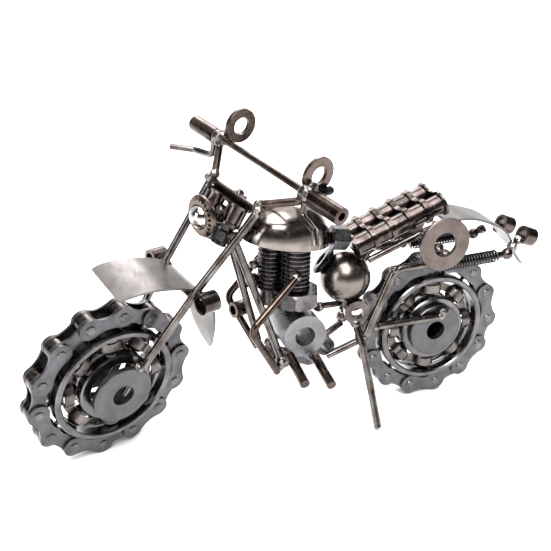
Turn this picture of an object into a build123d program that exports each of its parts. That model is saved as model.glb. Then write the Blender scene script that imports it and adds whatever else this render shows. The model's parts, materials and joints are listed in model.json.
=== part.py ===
from build123d import *
import math
import os

# A table-top motorcycle welded from chain links, two ball bearings, washers,
# nuts, bolts and bent wire.  Millimetres.  +X is forward, +Y is the left
# side, +Z is up.  Everything is placed from the rear axle's ground point and
# moved at the end so that the origin is the bottom centre of the whole box.

# ---- roller chain that makes the tyres ----
link_pitch = 12.7
link_count = 14
link_end_radius = 4.05
link_waist = 2.5
link_plate = 0.95
link_inner_width = 3.5
link_roller_radius = 3.88
link_pin_radius = 1.8
link_pin_stand = 0.4
link_bush_radius = 2.5
rear_chain_phase = -52.2
front_chain_phase = -72.7

# ---- wider roller chain that makes the seat and the steering head ----
wide_end_radius = 5.0
wide_waist = 3.3
wide_plate = 0.95
wide_inner_width = 6.0
seat_unit_count = 5
seat_slope = 22.4

# ---- ball bearings that make the wheels ----
bearing_outer_radius = 23.5
bearing_width = 12.0
outer_shoulder_radius = 21.0
inner_shoulder_radius = 14.0
bearing_bore_radius = 10.0
ball_radius = 3.97
ball_count = 8
ball_clearance = 0.08
cage_sheet = 0.6
cage_band = 3.4
ring_chamfer = 0.5

# ---- hub washers ----
hub_washer_radius = 11.4
hub_hole_radius = 4.15
hub_washer_thickness = 2.2

# ---- chassis layout ----
wheelbase = 137.0
rake = 28.2
fork_offset = 18.0
steer_rest = 22.8
wire_radius = 1.5
thin_wire_radius = 1.3
weld_radius = 2.3

# ---- steering head ----
head_height = 83.0
pivot_radius = 1.9
pivot_clearance = 0.06
head_nut_flats = 6.0
head_nut_height = 3.6
head_nut_gap = 0.9
stud_radius = 2.3
stud_gap = 0.3
stud_length = 11.0
stud_thread_pitch = 0.8

# ---- fork and handlebar ----
crown_height = 96.8
crown_half_width = 14.5
stay_height = 68.6
stay_half_width = 10.9
riser_half_width = 24.1
bar_half_width = 26.3
bar_height = 107.0
grip_radius = 3.2
grip_bore_radius = 1.5
grip_length = 14.6
mirror_radius = 6.8
mirror_hole_radius = 3.4
mirror_thickness = 1.6
mirror_stem_radius = 1.6
mirror_drop = 0.9
lever_radius = 1.25
lamp_ring_radius = 7.8
lamp_ring_bore = 4.6
lamp_ring_thickness = 3.2
lamp_teeth = 24
signal_radius = 3.88
signal_bore = 2.55
signal_length = 6.4

# ---- fenders ----
fender_half_width = 10.0
fender_sheet = 0.9

# ---- engine ----
crankcase_radius = 8.8
crankcase_length = 20.0
crankcase_hole = 4.1
crank_washer_thickness = 1.6
cylinder_thread_radius = 5.5
cylinder_thread_pitch = 1.75
cylinder_head_flats = 17.0
cylinder_head_height = 6.4
engine_ball_radius = 10.3
tank_half_length = 17.3
tank_half_width = 13.4
tank_rise = 14.6
tank_skirt = 1.2
tank_tilt = 7.4
crash_bar_reach = 16.4
peg_radius = 1.9
peg_length = 16.0

# ---- rear frame ----
side_washer_radius = 10.75
side_washer_hole = 5.0
side_washer_thickness = 1.6
side_washer_y = 16.7
spring_radius = 2.2
spring_wire_radius = 0.4
spring_pitch = 1.3
shock_bolt_radius = 1.4
shock_y = 12.6
stand_foot_y = 24.0

# ---- derived places ----
pitch_radius = link_pitch / 2 / math.sin(math.pi / link_count)
wheel_radius = pitch_radius + link_end_radius
axle_height = wheel_radius
ball_circle = (outer_shoulder_radius + inner_shoulder_radius) / 2 - 0.2
half_bearing = bearing_width / 2
rear_axle = Vector(0, 0, axle_height)
front_axle = Vector(wheelbase, 0, axle_height)
axis_up = Vector(-math.sin(math.radians(rake)), 0, math.cos(math.radians(rake)))
axis_ahead = Vector(math.cos(math.radians(rake)), 0, math.sin(math.radians(rake)))
axis_foot = front_axle - axis_ahead * fork_offset
left = Vector(0, 1, 0)
nodes = {}


def axis_point(height):
    """The point of the steering axis at a height above the ground."""
    return axis_foot + axis_up * ((height - axis_foot.Z) / axis_up.Z)


def mirrored(point):
    return Vector(point.X, -point.Y, point.Z)


def frame_at(origin, direction):
    """A plane at origin whose normal is the direction."""
    return Plane(origin=origin, z_dir=direction)


def rod(points, radius, bend=5.0):
    """A round wire along straight runs with rounded corners."""
    points = [Vector(*p) if not isinstance(p, Vector) else p for p in points]
    if len(points) == 2:
        along = points[1] - points[0]
        return frame_at((points[0] + points[1]) * 0.5, along) * Cylinder(radius, along.length)
    path = FilletPolyline(*points, radius=bend)
    start = frame_at(points[0], points[1] - points[0])
    return sweep(start * Circle(radius), path=path)


def tube(centre, direction, outer, inner, length):
    body = Cylinder(outer, length) - Cylinder(inner, length * 2)
    return frame_at(centre, direction) * body


def washer(centre, direction, outer, hole, thickness, edge=0.2):
    """A stamped ring with a small chamfer on its outer edges."""
    half = thickness / 2
    outline = Polyline(
        (hole, -half), (outer - edge, -half), (outer, -half + edge),
        (outer, half - edge), (outer - edge, half), (hole, half), close=True,
    )
    ring = revolve(make_face(Plane.XZ * outline), Axis.Z)
    return frame_at(centre, direction) * ring


def hex_prism(plane, flats, height, bore=0.0):
    """A nut or a bolt head: a hexagon whose corners are turned off."""
    corner = flats / math.sqrt(3)
    body = extrude(RegularPolygon(corner, 6), height / 2, both=True)
    cone = Cylinder(corner, height)
    turned = chamfer(cone.edges().filter_by(GeomType.CIRCLE), (corner - flats / 2) * 0.7)
    body = body & turned
    if bore > 0:
        body = body - Cylinder(bore, height * 2)
    return plane * body


def threaded_rod(start, end, major, pitch):
    """A round bar with a vee groove at every thread."""
    along = end - start
    root = major - 0.6 * pitch
    count = int(along.length / pitch)
    outline = [(0, 0), (root, 0)]
    for turn in range(count):
        outline.append((major, (turn + 0.42) * pitch))
        outline.append((major, (turn + 0.58) * pitch))
        outline.append((root, (turn + 1) * pitch))
    outline += [(root, along.length), (0, along.length)]
    if along.length - count * pitch < 1e-3:
        outline.pop(-2)
    profile = make_face(Plane.XZ * Polyline(*outline, close=True))
    return frame_at(start, along) * revolve(profile, Axis.Z)


def bead(centre, radius=weld_radius, stretch=0.0, direction=None):
    """A blob of weld metal, drawn out along a direction where it is long."""
    if not stretch:
        return Pos(centre) * Sphere(radius)
    half = direction.normalized() * (stretch / 2)
    middle = frame_at(centre, direction) * Cylinder(radius, stretch)
    return middle + Pos(centre + half) * Sphere(radius) + Pos(centre - half) * Sphere(radius)


def link_outline(end_radius, waist, hole_radius):
    """The figure of eight of a chain plate, drawn about its middle."""
    half = link_pitch / 2
    waist_radius = (half**2 + waist**2 - end_radius**2) / (2 * (end_radius - waist))
    centre_y = waist + waist_radius
    reach = end_radius / (end_radius + waist_radius)
    touch_x = half - half * reach
    touch_y = centre_y * reach
    outline = Rectangle(2 * touch_x, 2 * touch_y)
    for side in (-1, 1):
        outline += Pos(side * half, 0) * Circle(end_radius)
    for side in (-1, 1):
        outline -= Pos(0, side * centre_y) * Circle(waist_radius)
        outline -= Pos(side * half, 0) * Circle(hole_radius)
    return outline


def plate_at(outline, thickness, height):
    """A chain plate whose middle plane is at a height above the sketch."""
    return Pos(0, 0, height) * extrude(outline, thickness / 2, both=True)


# ---------------------------------------------------------------- wheels
def chain_tyre(phase):
    """Closed ring of links about local Z: the plates, rollers and pins."""
    inner_face = link_inner_width / 2
    inner_plate = link_outline(link_end_radius, link_waist, link_pin_radius + 0.02)
    outer_plate = link_outline(link_end_radius, link_waist, link_pin_radius + 0.02)
    inner_height = inner_face + link_plate / 2
    outer_height = inner_face + link_plate * 1.5 + 0.02
    pin_half = inner_face + 2 * link_plate + link_pin_stand
    step = 360 / link_count
    middle_radius = pitch_radius * math.cos(math.pi / link_count)
    inner_links, outer_links, rollers, pins, welds = [], [], [], [], []
    roller = Cylinder(link_roller_radius, link_inner_width - 0.1)
    roller -= Cylinder(link_bush_radius + 0.02, link_inner_width * 2)
    bush = Cylinder(link_bush_radius, link_inner_width + 0.2) - Cylinder(link_pin_radius + 0.02, 20)
    pin = Cylinder(link_pin_radius, 2 * pin_half)
    pin = chamfer(pin.edges().filter_by(GeomType.CIRCLE), 0.25)
    for k in range(link_count):
        spoke = Rot(0, 0, phase + k * step)
        between = Rot(0, 0, phase + (k + 0.5) * step) * Pos(middle_radius, 0) * Rot(0, 0, 90)
        at_pin = spoke * Pos(pitch_radius, 0)
        pins.append(at_pin * pin)
        rollers.append(at_pin * roller)
        weld_spot = (bearing_outer_radius + pitch_radius - link_roller_radius) / 2
        welds.append(spoke * Pos(weld_spot, 0) * Sphere(1.0))
        if k % 2:
            for side in (-1, 1):
                outer_links.append(between * plate_at(outer_plate, link_plate, side * outer_height))
        else:
            link = plate_at(inner_plate, link_plate, inner_height)
            link += plate_at(inner_plate, link_plate, -inner_height)
            for end in (-1, 1):
                link += Pos(end * link_pitch / 2, 0) * bush
            inner_links.append(between * link)
    return inner_links, outer_links, rollers, pins, welds


def ring_section(inner, outer):
    half = half_bearing
    cut = ring_chamfer
    points = [
        (inner, -half + cut), (inner + cut, -half), (outer - cut, -half), (outer, -half + cut),
        (outer, half - cut), (outer - cut, half), (inner + cut, half), (inner, half - cut),
    ]
    return revolve(make_face(Plane.XZ * Polyline(*points, close=True)), Axis.Z)


def bearing():
    """Outer ring, inner ring, balls and ribbon cage about local Z."""
    groove = Torus(ball_circle, ball_radius + ball_clearance)
    outer_ring = ring_section(outer_shoulder_radius, bearing_outer_radius) - groove
    inner_ring = ring_section(bearing_bore_radius, inner_shoulder_radius) - groove
    spots = [Rot(0, 0, k * 360 / ball_count) * Pos(ball_circle, 0, 0) * Rot(0, 90, 0) for k in range(ball_count)]
    balls = [spot * Sphere(ball_radius) for spot in spots]
    band_inner = ball_circle - cage_band / 2
    band_outer = ball_circle + cage_band / 2
    pocket = ball_radius + ball_clearance
    band = Cylinder(band_outer, bearing_width) - Cylinder(band_inner, bearing_width * 2)
    ribbon = Cylinder(band_outer, 2 * cage_sheet) - Cylinder(band_inner, bearing_width)
    depth = 4 * cage_band
    for spot in spots:
        ribbon += band & (spot * Cylinder(pocket + cage_sheet, depth))
    for spot in spots:
        ribbon -= spot * Cylinder(pocket, depth)
    return outer_ring, inner_ring, balls, ribbon


def wheel(prefix, axle, phase, washer_y):
    """All the nodes of one wheel, its axle along Y."""
    place = Pos(axle) * Rot(-90, 0, 0)
    inner_links, outer_links, rollers, pins, welds = chain_tyre(phase)
    outer_ring, inner_ring, balls, ribbon = bearing()
    nodes[prefix + "_chain_inner_links"] = [place * s for s in inner_links]
    nodes[prefix + "_chain_outer_plates"] = [place * s for s in outer_links]
    nodes[prefix + "_chain_rollers"] = [place * s for s in rollers]
    nodes[prefix + "_chain_pins"] = [place * s for s in pins]
    nodes[prefix + "_chain_welds"] = [place * s for s in welds]
    nodes[prefix + "_bearing_outer_ring"] = [place * outer_ring]
    nodes[prefix + "_bearing_inner_ring"] = [place * inner_ring]
    nodes[prefix + "_bearing_balls"] = [place * s for s in balls]
    nodes[prefix + "_bearing_cage"] = [place * ribbon]
    hub = []
    for side in (-1, 1):
        centre = axle + left * (side * (washer_y + hub_washer_thickness / 2))
        hub.append(washer(centre, left, hub_washer_radius, hub_hole_radius, hub_washer_thickness, 0.35))
    nodes[prefix + "_hub_washers"] = hub


rear_washer_y = half_bearing
front_washer_y = half_bearing + 2 * wire_radius
wheel("rear", rear_axle, rear_chain_phase, rear_washer_y)
wheel("front", front_axle, front_chain_phase, front_washer_y)


# ------------------------------------------------------------- steering head
def wide_link(place, direction_plane):
    """One inner link of the wide chain, its pins along the plane's normal."""
    outline = link_outline(wide_end_radius, wide_waist, link_bush_radius + 0.01)
    offset = (wide_inner_width + wide_plate) / 2
    frame = Plane(origin=place, x_dir=left, z_dir=direction_plane)
    plates = [frame * plate_at(outline, wide_plate - 0.02, side * offset) for side in (-1, 1)]
    rollers, bushes = [], []
    for side in (-1, 1):
        spot = frame * Pos(side * link_pitch / 2, 0)
        roller = Cylinder(link_roller_radius, wide_inner_width) - Cylinder(link_bush_radius + 0.02, 30)
        bush = Cylinder(link_bush_radius, wide_inner_width + 2 * wide_plate)
        bush -= Cylinder(link_pin_radius, 30)
        rollers.append(spot * roller)
        bushes.append(spot * bush)
    return plates, rollers, bushes


wide_unit = wide_inner_width + 2 * wide_plate
crown_point = axis_point(crown_height) + Vector(4.8, 0, 0)
crown_left = Vector(crown_point.X, crown_half_width, crown_point.Z)
link_centre = crown_point - axis_up * (thin_wire_radius + wide_unit / 2) + axis_ahead * 1.6
head_plates, head_rollers, head_bushes = wide_link(link_centre, axis_up)
nodes["head_link"] = head_plates + head_bushes
nodes["head_link_rollers"] = head_rollers

head_top = axis_point(head_height + 0.5 * head_nut_gap * axis_up.Z + head_nut_height * axis_up.Z)
head_bottom = axis_point(head_height - 0.5 * head_nut_gap * axis_up.Z - head_nut_height * axis_up.Z)
pin_top = axis_point(crown_height - 1.0)
pin_bottom = head_bottom - axis_up * 0.3
pivot_pin = rod([pin_bottom, pin_top], pivot_radius)
pivot_pin += rod([pin_bottom - axis_up * 1.4, pin_bottom], pivot_radius + 1.2)
nodes["steering_pin"] = [pivot_pin]

head_nuts = []
for side in (-1, 1):
    middle = axis_point(head_height) + axis_up * (side * (head_nut_height + head_nut_gap) / 2)
    turned = Plane(origin=middle, x_dir=left, z_dir=axis_up)
    nut = hex_prism(turned, head_nut_flats, head_nut_height, pivot_radius + pivot_clearance)
    head_nuts.append(nut)

stud_reach = head_nut_flats / math.sqrt(3) + stud_gap + stud_radius
stud_top = axis_point(link_centre.Z - wide_unit / 2 * axis_up.Z) + axis_ahead * stud_reach
stud_top = stud_top - axis_up * 0.9
nodes["head_stud"] = [threaded_rod(stud_top, stud_top - axis_up * stud_length, stud_radius, stud_thread_pitch)]

# ------------------------------------------------------------------- fork
leg_y = half_bearing + wire_radius
leg_foot = front_axle + Vector(-2.4, leg_y, -3.4)
leg_knee = front_axle + Vector(-10.6, leg_y, 7.2)
stay_x = front_axle.X - 29.2
leg_stay = Vector(stay_x, stay_half_width, stay_height)
legs = []
for flip in (1, -1):
    run = [Vector(p.X, flip * p.Y, p.Z) for p in (leg_foot, leg_knee, leg_stay, crown_left)]
    legs.append(rod(run, wire_radius, bend=8))
nodes["fork_legs"] = legs
crown_end = Vector(0, crown_half_width + 2.6, 0)
crown_bar = rod([crown_point - crown_end, crown_point + crown_end], thin_wire_radius)

bar_point = Vector(75.9, 0, bar_height)
riser_foot = Vector(crown_point.X - 0.9, crown_half_width - 1.0, crown_height + 2.2)
riser_elbow = Vector(bar_point.X + 1.3, riser_half_width, bar_height - 3.6)
riser_top = Vector(bar_point.X, bar_half_width - 0.6, bar_height - 0.6)
risers = []
for flip in (1, -1):
    run = [Vector(p.X, flip * p.Y, p.Z) for p in (riser_foot, riser_elbow, riser_top)]
    risers.append(rod(run, wire_radius, bend=2.0))
bar_end = left * (bar_half_width - 1.5)
nodes["handlebar"] = risers + [rod([bar_point - bar_end, bar_point + bar_end], thin_wire_radius)]

grips, mirrors, stems, levers = [], [], [], []
grip_middle = bar_half_width + 2.4 + grip_length / 2
mirror_centre = Vector(bar_point.X - 7.0, bar_half_width - 3.5, bar_height + 4.9)
for side in (-1, 1):
    grips.append(
        tube(bar_point + Vector(-0.4, side * grip_middle, -0.8), left, grip_radius, grip_bore_radius, grip_length)
    )
    ring = Vector(mirror_centre.X, side * mirror_centre.Y, mirror_centre.Z - mirror_drop * (1 + side) / 2)
    mirrors.append(washer(ring, left, mirror_radius, mirror_hole_radius, mirror_thickness))
    stem_y = side * (mirror_centre.Y + mirror_thickness / 2 + mirror_stem_radius)
    stem_z = ring.Z - mirror_radius + mirror_stem_radius * 0.6
    stem_front = Vector(bar_point.X + 0.5, stem_y, stem_z + 0.3)
    stem_rear = Vector(mirror_centre.X - 5.6, stem_y, stem_z)
    stems.append(threaded_rod(stem_front, stem_rear, mirror_stem_radius, 0.7))
    run = [
        Vector(bar_point.X + 1.4, side * (bar_half_width + 1.0), bar_height - 2.4),
        Vector(bar_point.X + 2.0, side * (bar_half_width + 0.7), bar_height - 7.6),
        Vector(bar_point.X + 3.8, side * (bar_half_width + 10.4), bar_height - 8.8),
        Vector(bar_point.X + 10.4, side * (bar_half_width + 17.8), bar_height - 9.2),
    ]
    levers.append(rod(run, lever_radius, bend=2.2))
nodes["grips"] = grips
nodes["mirror_washers"] = mirrors
nodes["mirror_stems"] = stems
nodes["levers"] = levers

# ------------------------------------------------------------------ head lamp
lamp_centre = Vector(link_centre.X + 9.4, 0, link_centre.Z - 1.6)
forward = Vector(1, 0, 0)
lamp_ring = washer(lamp_centre, forward, lamp_ring_radius, lamp_ring_bore, lamp_ring_thickness, 1.1)
for k in range(lamp_teeth):
    notch = Rot(k * 360 / lamp_teeth, 0, 0) * Pos(lamp_ring_thickness / 2, 0, lamp_ring_radius - 0.6)
    lamp_ring -= Pos(lamp_centre) * notch * Rot(0, 24, 45) * Box(0.9, 0.9, 5.4)
nodes["headlamp_ring"] = [lamp_ring]
nodes["headlamp_ball"] = [Pos(lamp_centre) * Sphere(lamp_ring_bore - 0.02)]
lamp_back = lamp_centre - forward * (lamp_ring_thickness / 2)
lamp_root = Vector(link_centre.X + 3.2, 0, lamp_centre.Z - 3.2)
lamp_tip = Vector(lamp_back.X + 0.1, 0, lamp_centre.Z - 5.6)
nodes["headlamp_stem"] = [rod([lamp_root, lamp_tip + forward * 0.2], thin_wire_radius)]


# -------------------------------------------------------------------- fenders
def fender(stations):
    """Sheet through stations of (x, z, half width, roll towards the right side)."""
    spine = Spline(*[Vector(x, 0, z) for x, z, half, roll in stations])
    sections = []
    for x, z, half, roll in stations:
        spot = Vector(x, 0, z)
        along = spine % spine.param_at_point(spot)
        tilted = Plane(origin=spot, x_dir=left.rotate(Axis(spot, along), roll), z_dir=along)
        sections.append(tilted * Rectangle(2 * half, fender_sheet))
    return loft(sections)


full = fender_half_width
front_fender_stations = [
    (wheelbase + 1.4, 73.9, 0.92 * full, 8), (wheelbase - 4.4, 74.5, full, 7), (wheelbase - 10.0, 74.2, full, 6),
    (wheelbase - 20.5, 72.0, full, 5), (wheelbase - 27.6, 68.9, full, 3), (wheelbase - 34.4, 62.8, full, 0),
    (wheelbase - 38.4, 54.6, 0.97 * full, 0), (wheelbase - 40.2, 46.0, 0.85 * full, 0),
    (wheelbase - 41.9, 38.4, 0.58 * full, 0), (wheelbase - 44.2, 32.0, 0.24 * full, 0),
    (wheelbase - 45.2, 29.8, 0.06 * full, 0),
]
rear_fender_stations = [
    (2.0, 82.0, full, 0), (-6.0, 81.9, full, 0), (-15.0, 80.4, full, 0), (-23.0, 77.6, full, 2),
    (-29.3, 73.3, full, 6), (-34.5, 66.2, 0.97 * full, 13), (-39.0, 60.8, 0.76 * full, 15),
    (-43.0, 57.2, 0.36 * full, 15), (-44.9, 55.6, 0.06 * full, 15),
]
nodes["front_fender"] = [fender(front_fender_stations)]
nodes["rear_fender"] = [fender(rear_fender_stations)]

stay_rod_z = stay_height - fender_sheet / 2 - thin_wire_radius - 0.7 - 2.0
stay_end = Vector(0, stay_half_width - wire_radius, 0)
stay_middle = Vector(stay_x, 0, stay_rod_z)
fender_stay = rod([stay_middle - stay_end, stay_middle + stay_end], thin_wire_radius)
nodes["fork_cross_bars"] = [crown_bar, fender_stay]
signals = []
for side in (-1, 1):
    spot = Vector(stay_x - 0.4, side * (stay_half_width + wire_radius + signal_radius + 0.7), stay_height - 1.7)
    signals.append(tube(spot, forward, signal_radius, signal_bore, signal_length))
nodes["front_signals"] = signals

# --------------------------------------------------------------------- frame
down_top = Vector(88.0, 4.5, 82.5)
down_foot = Vector(68.5, 7.2, 29.4)
rail_start = Vector(48.6, 6.2, 27.0)
rail_end = Vector(36.0, 8.6, 33.4)
loop_foot = Vector(34.4, 12.0, 37.5)
loop_elbow = Vector(24.1, 12.0, 64.6)
loop_end = Vector(8.2, shock_y - 0.4, 65.6)
swing_y = half_bearing + hub_washer_thickness + wire_radius + 0.1
swing_front = Vector(29.4, swing_y, axle_height + 6.9)
swing_rear = Vector(-0.3, swing_y, axle_height + 7.4)


def both_sides(points, radius, bend=4.0):
    pair = [rod(points, radius, bend)]
    pair.append(rod([mirrored(p) for p in points], radius, bend))
    return pair


right_foot = Vector(73.6, -7.4, 31.6)
nodes["down_tubes"] = [rod([down_top, down_foot], wire_radius), rod([mirrored(down_top), right_foot], wire_radius)]
nodes["lower_rails"] = both_sides([rail_start, rail_end], wire_radius)
nodes["seat_loops"] = both_sides([loop_foot, loop_elbow, loop_end], wire_radius + 0.15, 5.0)
nodes["swing_arms"] = both_sides([swing_front, swing_rear], wire_radius + 0.1)

elbow = Vector(84.1, crash_bar_reach, 48.2)
crash_left = rod([Vector(64.4, 9.2, 64.0), elbow, Vector(70.4, 8.2, 24.4)], wire_radius, 4.0)
crash_right = rod([Vector(70.4, -14.6, 65.6), mirrored(elbow), Vector(73.4, -8.2, 27.4)], wire_radius, 4.0)
nodes["crash_bars"] = [crash_left, crash_right]

skid_height = 25.8
skid_middle = Vector(60.6, 0, skid_height)
skid_outline = link_outline(link_end_radius, link_waist, link_bush_radius + 0.01)
skid_plates, skid_rollers = [], []
for side in (-1, 1):
    face = Plane(origin=skid_middle, x_dir=forward, z_dir=-left)
    skid_plates.append(face * plate_at(skid_outline, link_plate, side * (link_inner_width + link_plate) / 2))
for x, z, length in (
    (skid_middle.X - link_pitch / 2, skid_height, link_inner_width),
    (skid_middle.X + link_pitch / 2, skid_height, link_inner_width),
    (skid_middle.X - link_pitch / 2 - 2 * link_roller_radius + 1.4, skid_height + 3.9, link_inner_width + 4),
):
    skid_rollers.append(tube(Vector(x, 0, z), left, link_roller_radius, link_bush_radius, length))
nodes["skid_link"] = skid_plates + skid_rollers

pegs = []
for x, z in ((66.0, 31.8), (55.0, 29.4)):
    inner = Vector(x, crankcase_length / 2 + 0.2, z)
    outer = inner + Vector(-0.4, peg_length, -3.6)
    pegs.append(rod([inner, outer], peg_radius))
nodes["foot_pegs"] = pegs

# --------------------------------------------------------------------- engine
crank_centre = Vector(59.8, 0, 39.4)
crankcase = tube(crank_centre, left, crankcase_radius, crankcase_hole, crankcase_length)
nodes["crankcase"] = [crankcase]

tank_floor = Vector(65.8, 0, 76.8)
tank_plane = Plane(origin=tank_floor, x_dir=Vector(1, 0, 0), z_dir=Vector(0, 0, 1)).rotated((0, -tank_tilt, 0))
dome = scale(Sphere(1), by=(tank_half_length, tank_half_width, tank_rise))
dome = split(dome, bisect_by=Plane.XY, keep=Keep.TOP)
skirt = extrude(Ellipse(tank_half_length, tank_half_width), tank_skirt)
nodes["fuel_tank"] = [tank_plane * (skirt + Pos(0, 0, tank_skirt) * dome)]


def tank_floor_height(x, reach):
    """The lowest height of the tank's floor over a round bar at x."""
    slope = math.tan(math.radians(tank_tilt))
    return tank_floor.Z + (x - reach - tank_floor.X) * slope


near_x, near_y = 61.5, 2.0
far_x, far_y = 68.7, -7.0
head_bottom_z = crank_centre.Z + crankcase_radius + 2.6
head_top_z = head_bottom_z + cylinder_head_height
near_top = tank_floor_height(near_x, cylinder_thread_radius) - 0.1
far_top = tank_floor_height(far_x, cylinder_thread_radius) - 0.1
head_plane = Plane(
    origin=Vector(near_x, near_y, head_bottom_z + cylinder_head_height / 2),
    x_dir=Vector(math.cos(math.radians(70)), math.sin(math.radians(70)), 0),
    z_dir=Vector(0, 0, 1),
)
cylinder = hex_prism(head_plane, cylinder_head_flats, cylinder_head_height)
cylinder += threaded_rod(
    Vector(near_x, near_y, head_top_z - 0.2), Vector(near_x, near_y, near_top),
    cylinder_thread_radius, cylinder_thread_pitch,
)
shank_top = 54.0
stud = threaded_rod(
    Vector(far_x, far_y, shank_top), Vector(far_x, far_y, far_top),
    cylinder_thread_radius, cylinder_thread_pitch,
)
stud += rod([Vector(far_x, far_y, 48.0), Vector(far_x, far_y, shank_top + 0.2)], cylinder_thread_radius - 1.1)
nodes["cylinder_bolts"] = [cylinder, stud]

ball_centre = Vector(39.7, 0, 58.5)
nodes["engine_ball"] = [Pos(ball_centre) * Sphere(engine_ball_radius)]
cup_tilt = 38.0
cup_normal = Vector(math.cos(math.radians(cup_tilt)), -0.35, math.sin(math.radians(cup_tilt))).normalized()
cup_thickness = 2.4
cup_hole = 3.0
cup_height = math.sqrt(engine_ball_radius**2 - cup_hole**2) + cup_thickness / 2 + 0.05
cup = ball_centre + cup_normal * cup_height
nodes["ball_ring"] = [washer(cup, cup_normal, 6.2, cup_hole, cup_thickness, 0.8)]
ball_rod_z = ball_centre.Z - engine_ball_radius - thin_wire_radius - 0.05
ball_rod = rod([Vector(49.6, 0, ball_rod_z), Vector(37.0, 0, ball_rod_z)], thin_wire_radius)
nodes["lower_rails"].append(ball_rod)

tank_nut_thickness = 6.4
nut_plane = Plane(origin=Vector(44.4, 1.6, 76.2), x_dir=left, z_dir=Vector(1, 0, 0.12))
tank_nut = hex_prism(nut_plane, 8.6, tank_nut_thickness, 2.2)
nodes["frame_nuts"] = head_nuts + [tank_nut]
right_pipe = tube(Vector(80.0, -11.8, 44.4), Vector(1, 0.35, 0), 3.3, 2.0, 7.0)

# ---------------------------------------------------------------- side stand
ring_spot = Vector(37.2, 8.0, 46.3)
stand_ring = tube(ring_spot, Vector(0.25, 1, 0), 5.2, 2.4, 3.6)
stand_run = [
    Vector(37.4, 9.2, 39.8), Vector(35.8, 12.4, 33.0), Vector(33.4, 18.0, 15.6),
    Vector(31.9, stand_foot_y, 0.9),
]
nodes["side_stand"] = [rod(stand_run, wire_radius, 6.0), stand_ring]

# ----------------------------------------------------------------------- seat
seat_back = Vector(-math.cos(math.radians(seat_slope)), 0, math.sin(math.radians(seat_slope)))
seat_first = Vector(35.9, 0, 75.0)
seat_plates, seat_rollers, seat_bushes = [], [], []
for k in range(seat_unit_count):
    plates, rollers, bushes = wide_link(seat_first + seat_back * (k * (wide_unit + 0.03)), seat_back)
    seat_plates += plates
    seat_rollers += rollers
    seat_bushes += bushes
nodes["seat_links"] = seat_plates + seat_bushes
nodes["seat_rollers"] = seat_rollers
rail_drop = Vector(-seat_back.Z, 0, seat_back.X) * (wide_end_radius + thin_wire_radius + 0.4)
seat_rail_front = Vector(seat_first.X + 1.0, 9.0, seat_first.Z - 0.3) + rail_drop
seat_rail_rear = seat_rail_front + seat_back * 30.5
nodes["seat_rails"] = both_sides([seat_rail_front, seat_rail_rear], thin_wire_radius)

side_washers = []
for side in (-1, 1):
    spot = Vector(6.1, side * side_washer_y, 75.1)
    side_washers.append(washer(spot, left, side_washer_radius, side_washer_hole, side_washer_thickness))
nodes["side_washers"] = side_washers

# --------------------------------------------------------------------- shocks
shock_front = Vector(4.6, shock_y, 64.4)
shock_rear = Vector(-26.6, shock_y, 66.2)
shock_along = (shock_rear - shock_front).normalized()
coil_length = 24.5
springs, bolts = [], []
for flip in (1, -1):
    start = Vector(shock_front.X, flip * shock_front.Y, shock_front.Z)
    end = Vector(shock_rear.X, flip * shock_rear.Y, shock_rear.Z)
    helix = frame_at(start + shock_along * 1.2, shock_along) * Helix(spring_pitch, coil_length, spring_radius)
    section = frame_at(helix @ 0, helix % 0) * Circle(spring_wire_radius)
    springs.append(sweep(section, path=helix, is_frenet=True))
    bolt = rod([start, end], shock_bolt_radius)
    bolt += Pos(end) * Sphere(shock_bolt_radius + 1.0)
    bolts.append(bolt)
nodes["shock_springs"] = springs
nodes["shock_bolts"] = bolts

tail_tubes = []
for side in (-1, 1):
    tail_tubes.append(tube(Vector(-38.9, side * 7.6, 71.1), Vector(1, 0, 0.36), signal_radius, signal_bore, 5.4))
nodes["frame_tubes"] = tail_tubes + [right_pipe]

# ---------------------------------------------------------------------- welds
frame_beads = [
    (swing_rear, 2.0), (swing_front, 2.2), (loop_elbow, 1.9), (loop_end, 2.4),
    (Vector(35.4, 9.6, 35.6), 2.6), (down_foot, 2.4), (Vector(69.0, 6.0, 26.2), 2.6),
    (Vector(66.0, 9.6, 30.6), 2.6), (Vector(55.0, 9.2, 28.6), 2.2), (Vector(63.8, 7.8, 64.4), 2.3),
    (Vector(7.0, 13.6, 72.0), 2.6), (Vector(13.6, 14.4, 79.6), 2.4), (Vector(-29.6, 11.2, 68.4), 2.2),
    (Vector(-34.8, 7.6, 69.6), 2.0), (seat_rail_rear, 2.0), (down_top, 1.9),
]
weld_solids = []
for spot, size in frame_beads:
    weld_solids.append(bead(spot, size))
    weld_solids.append(bead(mirrored(spot), size))
for spot, size in (
    (Vector(84.6, 0, 79.6), 2.0), (Vector(48.8, 1.0, 75.6), 2.0), (Vector(40.4, 0.8, 75.2), 2.2),
    (Vector(39.6, 0, 47.4), 1.8), (Vector(37.6, 8.4, 41.4), 2.3), (Vector(60.6, 0, 49.4), 3.4), (Vector(-1.6, swing_y, axle_height + 9.6), 2.3), (Vector(75.6, -8.0, 64.6), 2.0),
    (Vector(-1.6, -swing_y, axle_height + 9.6), 2.3),
    (Vector(76.2, -8.4, 57.6), 3.2), (Vector(50.4, 0, 46.6), 2.2), (Vector(78.6, -13.6, 43.4), 2.0),
):
    weld_solids.append(bead(spot, size))
nodes["frame_welds"] = weld_solids

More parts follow.
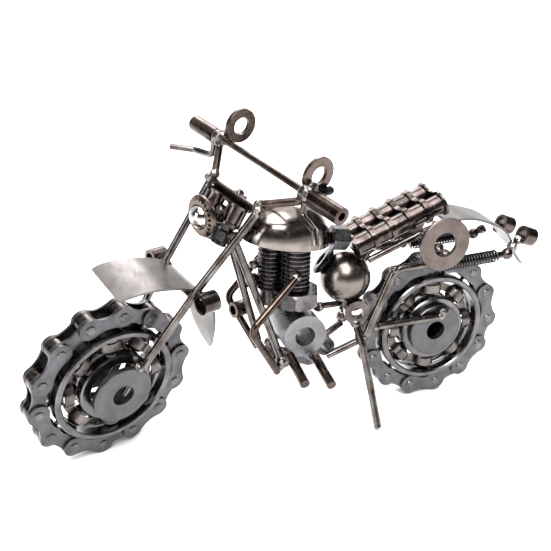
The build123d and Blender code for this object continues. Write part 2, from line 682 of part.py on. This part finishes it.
fork_beads = [
    (Vector(stay_x - 0.2, stay_half_width - 0.6, stay_height - 1.4), 2.2), (crown_left, 2.3),
    (Vector(stay_x - 0.2, stay_half_width + 2.6, stay_height - 1.6), 1.9),
    (Vector(bar_point.X, bar_half_width - 0.4, bar_height - 0.3), 3.5),
    (Vector(bar_point.X - 2.6, bar_half_width - 1.4, bar_height + 0.8), 2.6),
    (Vector(riser_foot.X, riser_foot.Y, riser_foot.Z), 2.0),
    (front_axle + Vector(-6.6, leg_y + 2.4, 9.4), 2.2),
]
fork_solids = []
for spot, size in fork_beads:
    fork_solids.append(bead(spot, size))
    fork_solids.append(bead(mirrored(spot), size))
for spot, size in (
    ((pin_top + crown_point) * 0.5, 2.3), (lamp_root, 2.0), (lamp_tip, 1.8),
    (stud_top, 2.4),
):
    fork_solids.append(bead(spot, size))
nodes["fork_welds"] = fork_solids

# --------------------------------------------------------------- turn and save
fork_nodes = [
    "head_link", "head_link_rollers", "steering_pin", "head_stud", "fork_legs", "fork_cross_bars",
    "handlebar", "grips", "mirror_washers", "mirror_stems", "levers",
    "headlamp_ring", "headlamp_ball", "headlamp_stem", "front_fender", "front_signals", "fork_welds",
]
fork_nodes += [name for name in nodes if name.startswith("front_") and name not in fork_nodes]
steering_axis = Axis(axis_foot, axis_up)
for name in fork_nodes:
    nodes[name] = [s.rotate(steering_axis, steer_rest) for s in nodes[name]]

boxes = [s.bounding_box() for solids in nodes.values() for s in solids]
low = [min(getattr(b.min, axis) for b in boxes) for axis in "XYZ"]
high = [max(getattr(b.max, axis) for b in boxes) for axis in "XYZ"]
shift = Vector(-(low[0] + high[0]) / 2, -(low[1] + high[1]) / 2, -low[2])
os.makedirs("parts", exist_ok=True)
for name, solids in nodes.items():
    moved = [s.moved(Location(shift)) for s in solids]
    shape = moved[0] if len(moved) == 1 else Compound(children=moved)
    export_step(shape, f"parts/{name}.step")
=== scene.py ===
import json
import math

import bpy
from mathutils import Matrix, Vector


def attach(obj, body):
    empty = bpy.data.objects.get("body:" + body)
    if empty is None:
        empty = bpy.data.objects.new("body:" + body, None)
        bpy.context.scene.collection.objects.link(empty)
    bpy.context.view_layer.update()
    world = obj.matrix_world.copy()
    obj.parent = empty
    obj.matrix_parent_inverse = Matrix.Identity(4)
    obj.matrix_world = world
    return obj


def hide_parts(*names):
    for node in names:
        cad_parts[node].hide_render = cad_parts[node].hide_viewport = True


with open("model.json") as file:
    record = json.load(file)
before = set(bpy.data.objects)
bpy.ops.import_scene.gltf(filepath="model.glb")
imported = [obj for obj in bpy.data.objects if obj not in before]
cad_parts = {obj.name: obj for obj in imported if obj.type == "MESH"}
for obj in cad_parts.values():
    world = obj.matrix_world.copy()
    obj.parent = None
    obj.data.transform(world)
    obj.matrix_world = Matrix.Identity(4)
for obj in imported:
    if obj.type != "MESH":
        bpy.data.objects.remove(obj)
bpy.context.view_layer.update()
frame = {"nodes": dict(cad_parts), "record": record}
nodes = frame["nodes"]

MM = 0.001
MERGE_WITHIN = 0.002 * MM
BEAD_VOXEL = 0.3 * MM
BEAD_LUMP = 1.5 * MM
FLOOR_SIZE = 6
BACK_EDGE_Y = -2.9
BACKDROP_STEPS = ((0.06, -0.22), (0.18, -0.14), (0.35, -0.06), (2.2, 0.0))
STAIN_EDGES = (0.35, 0.68)
GRAIN_DEPTH = 0.03 * MM
DENT_DEPTH = 0.12 * MM
RIPPLE_SHARE = 0.62
SMOOTHEST = 0.02
SKY_BANDS = ((0.05, 0.9), (0.16, 0.10), (0.42, 0.06), (0.52, 0.30), (0.62, 0.10), (0.85, 0.12))
SUN_STRENGTH = 3.2
SUN_SPREAD = 50
LENS_MM = 49.26
SENSOR_MM = 36
VIEWER_FROM_AXLE = (0.15913, 0.25314, 0.14404)
VIEWER_TURN = (66.95, -1.397, 161.053)
joints = {joint["name"]: joint for joint in frame["record"]["behaviour"]["joints"]}
rear_axle = Vector(joints["rear_wheel_spin"]["pos_m"])


# ------------------------------------------------------------------ finishes
def wire(tree, source, target):
    tree.links.new(source, target)


def metal(name, colour, stain, rough, polish=0.08, stain_size=6.0, grain_size=0.25,
          grain=0.12, dents=0.0, dent_size=2.0, brushed=(1.0, 1.0, 1.0)):
    """Bare metal: two tones in soft stains, uneven polish, fine grain and shallow dents."""
    finish = bpy.data.materials.new(name)
    finish.use_nodes = True
    tree = finish.node_tree
    shader = tree.nodes["Principled BSDF"]
    shader.inputs["Metallic"].default_value = 1.0
    place = tree.nodes.new("ShaderNodeTexCoord")
    stretch = tree.nodes.new("ShaderNodeMapping")
    stretch.inputs["Scale"].default_value = brushed
    wire(tree, place.outputs["Object"], stretch.inputs["Vector"])

    stains = tree.nodes.new("ShaderNodeTexNoise")
    stains.inputs["Scale"].default_value = 1 / (stain_size * MM)
    stains.inputs["Detail"].default_value = 5
    stains.inputs["Roughness"].default_value = 0.6
    wire(tree, place.outputs["Object"], stains.inputs["Vector"])
    tones = tree.nodes.new("ShaderNodeValToRGB")
    tones.color_ramp.elements[0].position = STAIN_EDGES[0]
    tones.color_ramp.elements[0].color = (*stain, 1)
    tones.color_ramp.elements[1].position = STAIN_EDGES[1]
    tones.color_ramp.elements[1].color = (*colour, 1)
    wire(tree, stains.outputs["Fac"], tones.inputs["Fac"])
    wire(tree, tones.outputs["Color"], shader.inputs["Base Color"])

    wear = tree.nodes.new("ShaderNodeTexNoise")
    wear.inputs["Scale"].default_value = 1 / (grain_size * 6 * MM)
    wear.inputs["Detail"].default_value = 4
    wire(tree, stretch.outputs["Vector"], wear.inputs["Vector"])
    uneven = tree.nodes.new("ShaderNodeMapRange")
    uneven.inputs["From Min"].default_value = 0.3
    uneven.inputs["From Max"].default_value = 0.7
    uneven.inputs["To Min"].default_value = max(rough - polish, SMOOTHEST)
    uneven.inputs["To Max"].default_value = rough + polish
    wire(tree, wear.outputs["Fac"], uneven.inputs["Value"])
    wire(tree, uneven.outputs["Result"], shader.inputs["Roughness"])

    fine = tree.nodes.new("ShaderNodeTexNoise")
    fine.inputs["Scale"].default_value = 1 / (grain_size * MM)
    fine.inputs["Detail"].default_value = 3
    wire(tree, stretch.outputs["Vector"], fine.inputs["Vector"])
    grain_bump = tree.nodes.new("ShaderNodeBump")
    grain_bump.inputs["Strength"].default_value = grain
    grain_bump.inputs["Distance"].default_value = GRAIN_DEPTH
    wire(tree, fine.outputs["Fac"], grain_bump.inputs["Height"])
    last = grain_bump
    if dents:
        lumps = tree.nodes.new("ShaderNodeTexNoise")
        lumps.inputs["Scale"].default_value = 1 / (dent_size * MM)
        lumps.inputs["Detail"].default_value = 2
        wire(tree, place.outputs["Object"], lumps.inputs["Vector"])
        dent_bump = tree.nodes.new("ShaderNodeBump")
        dent_bump.inputs["Strength"].default_value = dents
        dent_bump.inputs["Distance"].default_value = DENT_DEPTH
        wire(tree, lumps.outputs["Fac"], dent_bump.inputs["Height"])
        wire(tree, grain_bump.outputs["Normal"], dent_bump.inputs["Normal"])
        last = dent_bump
    wire(tree, last.outputs["Normal"], shader.inputs["Normal"])
    return finish


wire_nickel = metal("wire_nickel", (0.17, 0.158, 0.15), (0.065, 0.052, 0.046), 0.22, dents=0.25)
bar_bronze = metal("bar_bronze", (0.105, 0.08, 0.069), (0.038, 0.026, 0.021), 0.22, dents=0.2)
chain_plate_steel = metal("chain_plate_steel", (0.118, 0.117, 0.124), (0.065, 0.062, 0.066), 0.36,
                          grain=0.25, dents=0.35)
chain_pin_steel = metal("chain_pin_steel", (0.15, 0.145, 0.148), (0.06, 0.056, 0.056), 0.28,
                        dents=0.6, dent_size=0.9)
roller_steel = metal("roller_steel", (0.125, 0.103, 0.094), (0.036, 0.028, 0.025), 0.20, dents=0.2)
ring_steel = metal("ring_steel", (0.15, 0.146, 0.15), (0.085, 0.08, 0.082), 0.22, polish=0.05, dents=0.15)
ball_chrome = metal("ball_chrome", (0.50, 0.485, 0.49), (0.36, 0.34, 0.34), 0.07, polish=0.03, grain=0.03)
cage_steel = metal("cage_steel", (0.18, 0.16, 0.15), (0.08, 0.07, 0.065), 0.34, dents=0.3)
hub_steel = metal("hub_steel", (0.105, 0.104, 0.11), (0.07, 0.069, 0.073), 0.36,
                  grain=0.2, dents=0.2, dent_size=3)
fender_steel = metal("fender_steel", (0.15, 0.14, 0.136), (0.10, 0.09, 0.085), 0.36, polish=0.06, grain=0.25,
                     brushed=(1.0, 0.12, 1.0), dents=0.25, dent_size=6)
black_thread = metal("black_thread", (0.06, 0.06, 0.065), (0.012, 0.012, 0.013), 0.30, polish=0.12, dents=0.2)
spring_black = metal("spring_black", (0.10, 0.095, 0.10), (0.03, 0.03, 0.03), 0.25, polish=0.1)
nut_zinc = metal("nut_zinc", (0.2, 0.198, 0.207), (0.11, 0.107, 0.11), 0.30, dents=0.3, dent_size=1.5)
bolt_dark = metal("bolt_dark", (0.16, 0.15, 0.15), (0.045, 0.04, 0.04), 0.28, dents=0.2)
tank_chrome = metal("tank_chrome", (0.25, 0.222, 0.208), (0.14, 0.116, 0.104), 0.17, polish=0.03, grain=0.03)
ball_dark = metal("ball_dark", (0.2, 0.174, 0.16), (0.12, 0.1, 0.09), 0.25, polish=0.03, grain=0.03)
washer_rose = metal("washer_rose", (0.15, 0.125, 0.117), (0.095, 0.076, 0.069), 0.36, grain=0.25, dents=0.2)
lamp_brown = metal("lamp_brown", (0.15, 0.115, 0.097), (0.058, 0.041, 0.033), 0.27, dents=0.4, dent_size=1)
weld_bright = metal("weld_bright", (0.25, 0.232, 0.222), (0.075, 0.058, 0.048), 0.25, polish=0.1,
                    stain_size=2.5, dents=0.8, dent_size=0.9)
mirror_ring = metal("mirror_ring", (0.13, 0.102, 0.09), (0.058, 0.043, 0.034), 0.30, dents=0.3)
case_steel = metal("case_steel", (0.2, 0.197, 0.205), (0.135, 0.132, 0.138), 0.32, grain=0.25, dents=0.2)

finish_of = {
    "_chain_inner_links": chain_plate_steel, "_chain_outer_plates": chain_plate_steel,
    "_chain_rollers": roller_steel, "_chain_pins": chain_pin_steel, "_chain_welds": weld_bright,
    "_bearing_outer_ring": ring_steel, "_bearing_inner_ring": ring_steel, "_bearing_balls": ball_chrome,
    "_bearing_cage": cage_steel, "_hub_washers": hub_steel,
}
finish_by_node = {
    "head_link": roller_steel, "head_link_rollers": roller_steel, "steering_pin": black_thread,
    "frame_nuts": nut_zinc, "head_stud": black_thread, "fork_legs": wire_nickel, "fork_cross_bars": bar_bronze,
    "handlebar": bar_bronze, "grips": bar_bronze, "mirror_washers": mirror_ring, "mirror_stems": black_thread,
    "levers": wire_nickel, "headlamp_ring": lamp_brown, "headlamp_ball": ball_chrome,
    "headlamp_stem": wire_nickel, "front_fender": fender_steel, "rear_fender": fender_steel,
    "front_signals": roller_steel, "down_tubes": wire_nickel, "lower_rails": wire_nickel,
    "seat_loops": wire_nickel, "swing_arms": wire_nickel, "crash_bars": bar_bronze,
    "skid_link": chain_plate_steel,
    "foot_pegs": bar_bronze, "crankcase": case_steel, "fuel_tank": tank_chrome, "cylinder_bolts": bolt_dark,
    "engine_ball": ball_dark, "ball_ring": black_thread, "side_stand": wire_nickel, "seat_links": roller_steel,
    "seat_rollers": roller_steel, "seat_rails": wire_nickel, "side_washers": washer_rose,
    "shock_springs": spring_black, "shock_bolts": roller_steel, "frame_tubes": roller_steel,
    "frame_welds": weld_bright, "fork_welds": weld_bright,
}
for name, piece in nodes.items():
    finish = finish_by_node.get(name)
    for ending, choice in finish_of.items():
        if finish is None and name.endswith(ending):
            finish = choice
    piece.data.materials.clear()
    piece.data.materials.append(finish)


# --------------------------------------------------------------- weld beads
def lumpy_copy(name, body):
    """Beads melted into uneven lumps: a merged copy, remeshed, displaced and smoothed."""
    bead = nodes[name].copy()
    bead.data = nodes[name].data.copy()
    bead.name = name + "_melted"
    bead.parent = None
    bead.matrix_world.identity()
    bpy.context.collection.objects.link(bead)
    bpy.ops.object.select_all(action="DESELECT")
    bead.select_set(True)
    bpy.context.view_layer.objects.active = bead
    bpy.ops.object.mode_set(mode="EDIT")
    bpy.ops.mesh.select_all(action="SELECT")
    bpy.ops.mesh.remove_doubles(threshold=MERGE_WITHIN)
    bpy.ops.mesh.normals_make_consistent(inside=False)
    bpy.ops.object.mode_set(mode="OBJECT")
    remesh = bead.modifiers.new("melt", "REMESH")
    remesh.mode = "VOXEL"
    remesh.voxel_size = BEAD_VOXEL
    bpy.ops.object.modifier_apply(modifier="melt")
    ripple = bpy.data.textures.new(name + "_ripple", "CLOUDS")
    ripple.noise_scale = BEAD_LUMP
    ripple.noise_depth = 2
    push = bead.modifiers.new("ripple", "DISPLACE")
    push.texture = ripple
    push.texture_coords = "LOCAL"
    push.strength = RIPPLE_SHARE * BEAD_LUMP
    push.mid_level = 0.55
    bpy.ops.object.modifier_apply(modifier="ripple")
    relax = bead.modifiers.new("relax", "SMOOTH")
    relax.factor = 0.5
    relax.iterations = 2
    bpy.ops.object.modifier_apply(modifier="relax")
    bpy.ops.object.shade_smooth()
    bead.data.materials.clear()
    bead.data.materials.append(weld_bright)
    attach(bead, body)
    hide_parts(name)


lumpy_copy("frame_welds", "frame")
lumpy_copy("fork_welds", "fork")

# ---------------------------------------------------------- floor and lights
bpy.ops.object.select_all(action="DESELECT")
bpy.ops.mesh.primitive_plane_add(size=FLOOR_SIZE, location=(0, 1.6, -0.0001))
floor = bpy.context.object
floor.name = "pale_floor"
bpy.ops.object.mode_set(mode="EDIT")
bpy.ops.mesh.select_all(action="DESELECT")
bpy.ops.mesh.select_mode(type="EDGE")
bpy.ops.object.mode_set(mode="OBJECT")
for edge in floor.data.edges:
    ends = [floor.data.vertices[v].co.y for v in edge.vertices]
    edge.select = max(ends) < BACK_EDGE_Y
bpy.ops.object.mode_set(mode="EDIT")
for lift, back in BACKDROP_STEPS:
    bpy.ops.mesh.extrude_region_move(TRANSFORM_OT_translate={"value": (0, back, lift)})
bpy.ops.object.mode_set(mode="OBJECT")
bpy.ops.object.shade_smooth()
bpy.ops.object.transform_apply(location=True)
paint = bpy.data.materials.new("pale_floor")
paint.use_nodes = True
floor_shader = paint.node_tree.nodes["Principled BSDF"]
floor_shader.inputs["Base Color"].default_value = (0.93, 0.93, 0.93, 1)
floor_shader.inputs["Roughness"].default_value = 0.9
floor.data.materials.append(paint)

studio = bpy.data.worlds.new("studio")
bpy.context.scene.world = studio
studio.use_nodes = True
sky = studio.node_tree
background = sky.nodes["Background"]
coordinates = sky.nodes.new("ShaderNodeTexCoord")
split = sky.nodes.new("ShaderNodeSeparateXYZ")
wire(sky, coordinates.outputs["Generated"], split.inputs["Vector"])
bands = sky.nodes.new("ShaderNodeValToRGB")
bands.color_ramp.elements[0].position = 0.0
bands.color_ramp.elements[0].color = (1.0, 1.0, 1.0, 1)
bands.color_ramp.elements[1].position = 1.0
bands.color_ramp.elements[1].color = (0.9, 0.9, 0.92, 1)
for height, tone in SKY_BANDS:
    stop = bands.color_ramp.elements.new(height)
    stop.color = (tone, tone * 0.96, tone * 0.93, 1)
wire(sky, split.outputs["Z"], bands.inputs["Fac"])
wire(sky, bands.outputs["Color"], background.inputs["Color"])
background.inputs["Strength"].default_value = 1.0


def soft_box(name, place, aim, size, power, colour=(1, 1, 1)):
    light = bpy.data.lights.new(name, "AREA")
    light.shape = "RECTANGLE"
    light.size, light.size_y = size
    light.energy = power
    light.color = colour
    lamp = bpy.data.objects.new(name, light)
    bpy.context.collection.objects.link(lamp)
    lamp.location = place
    lamp.rotation_euler = (Vector(aim) - Vector(place)).to_track_quat("-Z", "Y").to_euler()


soft_box("key_over_left", (0.25, 0.55, 0.75), (0, 0, 0.05), (0.5, 0.35), 8.0, (1.0, 0.99, 0.98))
soft_box("fill_front", (0.75, 0.25, 0.30), (0.02, 0, 0.05), (0.3, 0.5), 3.0, (0.95, 0.97, 1.0))
soft_box("back_top", (-0.25, -0.55, 0.65), (0, 0, 0.06), (0.8, 0.3), 7.0)
soft_box("overhead", (0.0, 0.0, 0.95), (0, 0, 0), (0.9, 0.9), 6.0)
day = bpy.data.lights.new("even_light", "SUN")
day.energy = SUN_STRENGTH
day.angle = math.radians(SUN_SPREAD)
sun = bpy.data.objects.new("even_light", day)
bpy.context.collection.objects.link(sun)
sun.rotation_euler = (math.radians(-18), math.radians(12), 0)
bpy.context.scene.view_settings.view_transform = "Standard"

# -------------------------------------------------------------------- camera
lens = bpy.data.cameras.new("camera")
lens.sensor_width = SENSOR_MM
lens.lens = LENS_MM
lens.clip_start = 0.01
lens.clip_end = 20
viewer = bpy.data.objects.new("camera", lens)
bpy.context.collection.objects.link(viewer)
viewer.location = rear_axle + Vector(VIEWER_FROM_AXLE)
viewer.rotation_euler = [math.radians(a) for a in VIEWER_TURN]
bpy.context.scene.camera = viewer

bpy.context.view_layer.update()
